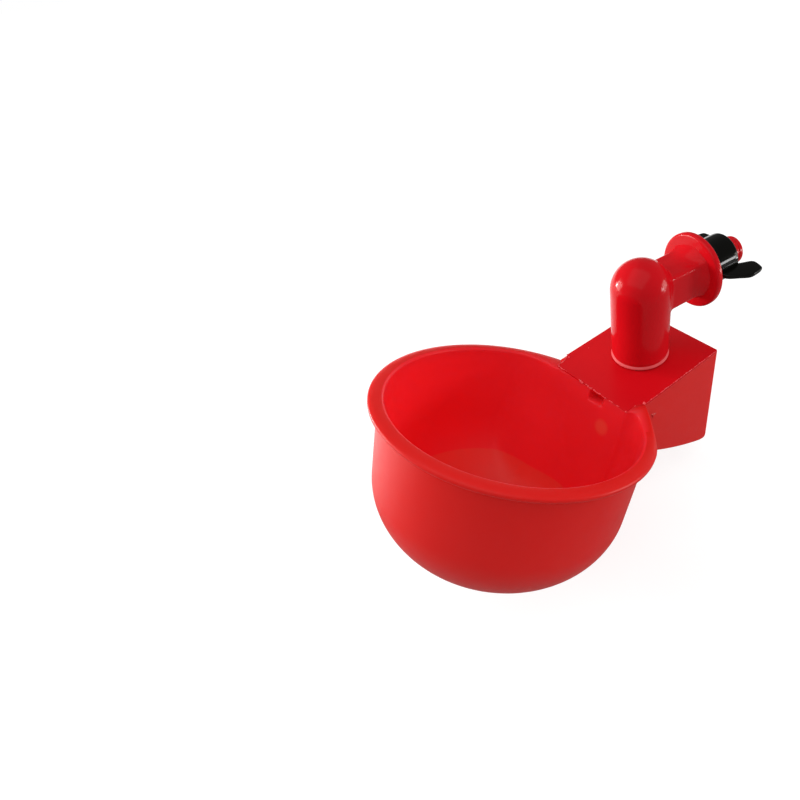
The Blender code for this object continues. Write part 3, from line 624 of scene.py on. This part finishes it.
def bead_sheet(start, end, size, seed, drop=0.0):
    """A bead of weld flash along a line: a tube whose radius and place wander with seeded waves.

    The radius is the size times 0.45 plus a mean of four sine waves along the line, and never less
    than a little.
    """
    random = np.random.default_rng(seed)
    start, end = np.array(start, float), np.array(end, float)
    length = np.linalg.norm(end - start)
    count = max(12, int(length * 6))
    share = np.linspace(0, 1, count)
    waves = sum(np.sin(share * length * f + random.uniform(0, 6.28)) for f in (1.1, 2.7, 4.9, 7.3)) / 4
    radius = size * np.clip(0.45 + 0.95 * waves, 0.06, 1.2)
    radius[[0, -1]] = 0
    side = np.array([-(end - start)[1], (end - start)[0]]) / length
    wander = size * 0.4 * np.sin(share * length * 1.9 + random.uniform(0, 6.28))
    path = start + (end - start) * share[:, None] + side * wander[:, None]
    angle = np.linspace(0, 2 * np.pi, 9)
    across = path[:, None, :] + side * (radius[:, None, None] * np.cos(angle)[None, :, None])
    up = radius[:, None] * np.sin(angle)[None, :] * 0.8 - drop
    sheet = np.concatenate([across, up[..., None]], axis=-1)
    sheet[:, -1] = sheet[:, 0]
    return hung(sheet)


lid_red = plastic("lid_red_plastic", (0.70, 0.003, 0.008), (0.73, 0.005, 0.011),
                  roughness=0.26, scale=22, bump=0.015, gloss=0.22, scuffs=0.01)
piece("lid_plate", skin("lid_plate", lid_sheet()), lid_red, "cup", ("lid",), sharp=15)
flash_red = plastic("weld_flash", (0.92, 0.07, 0.09), (0.97, 0.17, 0.18),
                    roughness=0.35, scale=300, bump=0.05, gloss=0.12)
# Start, end, size and seed of each bead: front edge, near step, near side, then the far step.
flash = [
    bead_sheet((LID_FRONT, 15.6), (-23.15, 11.3), 0.26, 3),
    bead_sheet((LID_FRONT, 5.4), (LID_FRONT, -0.9), 0.40, 11),
    bead_sheet((-23.25, -1.0), (LID_FRONT, -7.8), 0.28, 5),
    bead_sheet((LID_FRONT, -8.6), (LID_FRONT, -10.8), 0.2, 8),
    bead_sheet((-23.1, -11.2), (-23.1, -12.9), 0.28, 21),
    bead_sheet((-23.15, -15.5), (-22.9, -16.2), 0.42, 4),
    bead_sheet((-19.9, -15.9), (-19.2, -16.2), 0.2, 9),
    bead_sheet((-17.3, -17.3), (-16.4, -17.75), 0.5, 3),
    bead_sheet((-16.0, -17.72), (18.0, -17.72), 0.17, 14, 0.08),
    bead_sheet((LID_FRONT, 15.9), (-19.6, 15.9), 0.26, 17),
    bead_sheet((-19.5, 16.2), (-16.8, 17.7), 0.34, 12),
    bead_sheet((-17.9, 16.4), (-17.4, 16.0), 0.34, 2),
    bead_sheet((-10.0, 14.6), (-9.5, 14.9), 0.34, 7),
]
piece("lid_weld_flash", skin("lid_weld_flash", *flash), flash_red, "cup", sharp=60)


# The wing nut: one moulding of glossy black plastic with a round hub and two wings swept back past its
# end. It is screwed on the spigot and pulls the flange against the wall.
NEAR_WING_TURN = math.radians(188.0)
FAR_WING_TURN = math.radians(3.2)
HUB_END = 12.4
NUT_BORE = 4.9


def wing_sheet(turn):
    """A wing: its closed outline drawn in towards its middle at several heights of a flat lens.

    The outline's points are joined by a smooth closed curve through each of them (Catmull-Rom).
    """
    knots = np.array([(3.8, 5.0), (4.3, 7.6), (5.3, 9.6), (8.6, 11.7), (11.7, 13.45), (14.6, 13.55),
                      (17.1, 13.1), (17.75, 12.0), (18.0, 9.9), (17.5, 8.8), (16.4, 8.15), (14.1, 7.3),
                      (12.2, 6.4), (11.5, 5.0)])
    share = np.linspace(0, 1, 9, endpoint=False)[None, :, None]
    a, b, c, d = (np.roll(knots, k, axis=0)[:, None, :] for k in (1, 0, -1, -2))
    curve = 0.5 * (2 * b + (c - a) * share + (2 * a - 5 * b + 4 * c - d) * share ** 2
                   + (3 * b - a - 3 * c + d) * share ** 3)
    curve = curve.reshape(-1, 2)
    curve = np.concatenate([curve, curve[:1]])
    middle = np.array([12.2, 9.0])
    rim = [(0, 0.7), (0.85, 0.7), (0.955, 0.66), (0.985, 0.52), (1.0, 0.25)]
    rows = []
    for size, height in [(size, -height) for size, height in rim] + rim[::-1]:
        flat = middle + (curve - middle) * size
        rows.append(np.stack([flat[:, 0], flat[:, 1], np.full(len(flat), height)], axis=-1))
    sheet = np.stack(rows)
    cosine, sine = math.cos(turn), math.sin(turn)
    x, r, t = sheet[..., 0], sheet[..., 1], sheet[..., 2]
    return np.stack([x, r * cosine - t * sine, r * sine + t * cosine], axis=-1)


def nut_hub_sheet():
    """Hub with a rounded end and the bore the spigot goes through."""
    profile = joined(
        [(NUT_BORE, HUB_END), (6.6, HUB_END)],
        arc((6.75, HUB_END - 0.7), 0.7, 84, 0, 6),
        [(7.45, 3.2)],
        arc((7.15, 2.9), 0.3, 20, -90, 4),
        [(NUT_BORE, 2.6), (NUT_BORE, HUB_END)])
    return turned(profile, 128, "x")


black = plastic("black_nut_plastic", (0.002, 0.002, 0.0015), (0.004, 0.004, 0.003),
                roughness=0.09, scale=40, bump=0.04, gloss=0.2)
wings = [wing_sheet(NEAR_WING_TURN), wing_sheet(FAR_WING_TURN)]
piece("wing_nut_moulding", skin("wing_nut_moulding", nut_hub_sheet(), *wings),
      black, "wing_nut", ("wing_nut",), sharp=50)


# The adjusting nut: one moulding of black plastic with eight finger grooves, screwed on the end of the
# valve rod under the block. Turning it sets the water level.
def adjuster_sheet():
    """Ring whose outer radius dips in eight round scallops: r = 6.5 less a bump of cos 8 a."""
    bore, top, foot = 1.8, -38.6, -43.5
    profile = joined(
        [(bore, top), (5.7, top)],
        arc((5.9, top - 0.6), 0.6, 80, 0, 5),
        arc((5.9, foot + 0.6), 0.6, 0, -80, 5),
        [(5.7, foot), (bore, foot), (bore, top)])
    sheet = turned(profile, 256)
    turn = np.arctan2(sheet[..., 1], sheet[..., 0])
    radius = np.hypot(sheet[..., 0], sheet[..., 1])
    dip = 0.75 * np.clip((np.cos(8 * turn) - 0.45) / 0.55, 0, 1) ** 0.7
    scale = 1 - dip * np.clip((radius - 4.5) / 1.5, 0, 1) / radius
    sheet[..., :2] *= scale[..., None]
    sheet[:, -1] = sheet[:, 0]
    return hung(sheet)


piece("adjusting_nut_moulding", skin("adjusting_nut_moulding", adjuster_sheet()),
      black, "adjusting_nut", ("adjusting_nut",), sharp=50)


# The spring: steel wire wound round the neck tube with a closed turn at each end. It stands on the
# valve seat, carries the cup and gets shorter as the cup drops.
def spring_sheet(low, high, radius, wire, turns):
    """The wire's circle carried along a helix that climbs slowly in the closed end turns.

    The point at turn t and wire angle b is radius + wire cos b away from the axis, at the height of
    the turn plus wire sin b. A ring moved back to each end point closes the wire off flat.
    """
    along = np.linspace(0, turns, int(turns * 60) + 1)[:, None]
    closed = 2.3 * wire
    height = np.interp(along, [0, 1, turns - 1, turns],
                       [low + wire, low + wire + closed, high - wire - closed, high - wire])
    angle = np.linspace(0, 2 * np.pi, 17)[None, :]
    thick = np.where((along == 0) | (along == turns), 0.0, wire)
    reach = radius + thick * np.cos(angle)
    sheet = np.stack([STEM_X + reach * np.cos(2 * np.pi * along), reach * np.sin(2 * np.pi * along),
                      height + thick * np.sin(angle)], axis=-1)
    first_end = sheet[1:2] - (sheet[1] - sheet[0]).mean(axis=0)
    last_end = sheet[-2:-1] - (sheet[-2] - sheet[-1]).mean(axis=0)
    sheet = np.concatenate([sheet[:1], first_end, sheet[1:-1], last_end, sheet[-1:]])
    sheet[:, -1] = sheet[:, 0]
    return sheet


steel = plastic("spring_steel", (0.50, 0.50, 0.49), (0.60, 0.60, 0.59), roughness=0.22, scale=50, bump=0.05)
steel.node_tree.nodes["Principled BSDF"].inputs["Metallic"].default_value = 1.0
spring_foot, spring_head = (corner[2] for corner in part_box("spring"))
coil = spring_sheet(spring_foot * 1000, spring_head * 1000, radius=7.2, wire=0.5, turns=5)
spring = piece("spring_coil", skin("spring_coil", coil),
               steel, "elbow", ("spring",), sharp=60)
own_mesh(spring)


# The rest: a washer of black rubber on the spigot, rubber rings that seal the valve and its rod, and
# the valve pieces of white plastic inside the block. They keep the solids' shapes, and little of them
# shows.
rubber = plastic("black_rubber", (0.012, 0.012, 0.012), (0.02, 0.02, 0.02),
                 roughness=0.62, scale=60, bump=0.25)
white = plastic("white_valve_plastic", (0.66, 0.65, 0.60), (0.72, 0.71, 0.67),
                roughness=0.38, scale=40, bump=0.08)
for node, material in (("sealing_washer", rubber), ("valve_seal", rubber), ("rod_seal", rubber),
                       ("thrust_washer", white), ("valve_seat", white), ("valve_rod", white)):
    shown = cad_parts[node]
    shown.data.materials.clear()
    shown.data.materials.append(material)


# Floor, light and camera: pale floor under the object, a large soft lamp on the left behind it, a
# smaller one on the right, a wide one above, and the close view from above the photograph has.
def floor_material():
    """Pale floor that keeps the shadow near the object and otherwise shows as white.

    The glow that the camera sees grows with the distance from the object. Reflections see it on
    the far left side.
    """
    material = bpy.data.materials.new("pale_floor")
    material.use_nodes = True
    nodes, links = material.node_tree.nodes, material.node_tree.links
    shader = nodes["Principled BSDF"]
    shader.inputs["Base Color"].default_value = (0.38, 0.38, 0.38, 1)
    shader.inputs["Roughness"].default_value = 0.9
    shader.inputs["Specular IOR Level"].default_value = 0.0
    path = nodes.new("ShaderNodeLightPath")
    glow = nodes.new("ShaderNodeEmission")
    place = nodes.new("ShaderNodeTexCoord")
    far = nodes.new("ShaderNodeVectorMath")
    far.operation = "LENGTH"
    links.new(place.outputs["Object"], far.inputs[0])
    fade = nodes.new("ShaderNodeMapRange")
    fade.interpolation_type = "SMOOTHSTEP"
    fade.inputs["From Min"].default_value = 0.12
    fade.inputs["From Max"].default_value = 0.45
    fade.inputs["To Min"].default_value = 0.76
    fade.inputs["To Max"].default_value = 0.92
    links.new(far.outputs["Value"], fade.inputs["Value"])
    apart = nodes.new("ShaderNodeSeparateXYZ")
    links.new(place.outputs["Object"], apart.inputs["Vector"])
    side = nodes.new("ShaderNodeMapRange")
    side.interpolation_type = "SMOOTHSTEP"
    side.inputs["From Min"].default_value = 0.04
    side.inputs["From Max"].default_value = 0.12
    links.new(apart.outputs["Y"], side.inputs["Value"])
    mirrored = nodes.new("ShaderNodeMath")
    mirrored.operation = "MULTIPLY"
    links.new(path.outputs["Is Glossy Ray"], mirrored.inputs[0])
    links.new(side.outputs["Result"], mirrored.inputs[1])
    level = nodes.new("ShaderNodeMath")
    level.operation = "MULTIPLY_ADD"
    links.new(path.outputs["Is Camera Ray"], level.inputs[0])
    links.new(fade.outputs["Result"], level.inputs[1])
    links.new(mirrored.outputs["Value"], level.inputs[2])
    links.new(level.outputs["Value"], glow.inputs["Strength"])
    both = nodes.new("ShaderNodeAddShader")
    links.new(shader.outputs["BSDF"], both.inputs[0])
    links.new(glow.outputs["Emission"], both.inputs[1])
    links.new(both.outputs["Shader"], nodes["Material Output"].inputs["Surface"])
    return material


FLOOR_Z = -0.074
FLOOR_HALF = 3
floor_corners = [(x * FLOOR_HALF, y * FLOOR_HALF, FLOOR_Z) for x, y in ((-1, -1), (1, -1), (1, 1), (-1, 1))]
floor_mesh = bpy.data.meshes.new("floor")
floor_mesh.from_pydata(floor_corners, [], [(0, 1, 2, 3)])
floor_mesh.materials.append(floor_material())
floor = bpy.data.objects.new("floor", floor_mesh)
bpy.context.scene.collection.objects.link(floor)

world = bpy.data.worlds.new("studio")
bpy.context.scene.world = world
world.use_nodes = True
world_nodes, world_links = world.node_tree.nodes, world.node_tree.links
background = world_nodes["Background"]
background.inputs["Color"].default_value = (1, 1, 1, 1)
world_path = world_nodes.new("ShaderNodeLightPath")
world_seen = world_nodes.new("ShaderNodeMath")
world_seen.operation = "MAXIMUM"
world_links.new(world_path.outputs["Is Camera Ray"], world_seen.inputs[0])
world_links.new(world_path.outputs["Is Transmission Ray"], world_seen.inputs[1])
world_level = world_nodes.new("ShaderNodeMapRange")
world_level.inputs["To Min"].default_value = 0.50
world_level.inputs["To Max"].default_value = 1.0
world_links.new(world_seen.outputs["Value"], world_level.inputs["Value"])
world_mirrored = world_nodes.new("ShaderNodeMath")
world_mirrored.operation = "MULTIPLY_ADD"
world_mirrored.inputs[1].default_value = -0.34
world_links.new(world_path.outputs["Is Glossy Ray"], world_mirrored.inputs[0])
world_links.new(world_level.outputs["Result"], world_mirrored.inputs[2])
world_links.new(world_mirrored.outputs["Value"], background.inputs["Strength"])


def soft_lamp(name, azimuth, height, distance, size, power, tint=(1, 1, 1)):
    """A square soft lamp round the object, given by its direction in degrees and its distance."""
    data = bpy.data.lights.new(name, "AREA")
    data.size = size
    data.energy = power
    data.color = tint
    lamp = bpy.data.objects.new(name, data)
    turn, rise = math.radians(azimuth), math.radians(height)
    lamp.location = (-0.04 + distance * math.cos(rise) * math.cos(turn),
                     distance * math.cos(rise) * math.sin(turn), -0.015 + distance * math.sin(rise))
    lamp.rotation_euler = (math.pi / 2 - rise, 0, turn + math.pi / 2)
    bpy.context.scene.collection.objects.link(lamp)


# Direction round and above the object in degrees, distance and size in metres, power in watts, colour.
soft_lamp("left_panel", 134, 11, 0.85, 0.36, 4.4, (1, 0.95, 0.90))
soft_lamp("left_lamp", 122, 6, 0.60, 0.05, 1.0)
soft_lamp("right_panel", -30, 2, 0.80, 0.30, 1.8, (1, 0.93, 0.86))
soft_lamp("right_lamp", -36.6, -3.4, 0.42, 0.025, 0.06)
soft_lamp("low_lamp", -44, 2.5, 0.54, 0.07, 0.30)
soft_lamp("top_lamp", -160, 72, 0.90, 1.2, 3.1)

# The focal length and the point straight ahead are in pixels of a picture 800 wide and high. The camera
# stands close to the object, and right, up and back are its own directions.
PICTURE = 800
FOCAL_LENGTH = 535.0
AHEAD_X, AHEAD_Y = 559.2, 409.6
camera_data = bpy.data.cameras.new("camera")
camera_data.sensor_width = 36.0
camera_data.lens = FOCAL_LENGTH / PICTURE * camera_data.sensor_width
camera_data.shift_x = (PICTURE / 2 - AHEAD_X) / PICTURE
camera_data.shift_y = (AHEAD_Y - PICTURE / 2) / PICTURE
camera_data.clip_start = 0.01
camera_data.clip_end = 20
camera = bpy.data.objects.new("camera", camera_data)
right = np.array([0.8138, -0.5729, -0.0968])
up = np.array([0.4642, 0.5409, 0.7014])
back = np.cross(right, up)
stand = np.eye(4)
stand[:3, :3] = np.stack([right, up, back], axis=-1)
stand[:3, :3] /= np.linalg.norm(stand[:3, :3], axis=0)
stand[:3, 3] = np.array([-116.66, -105.73, 94.11]) * 0.001
camera.matrix_world = Matrix(stand.tolist())
bpy.context.scene.collection.objects.link(camera)
bpy.context.scene.camera = camera
bpy.context.scene.view_settings.view_transform = "Standard"
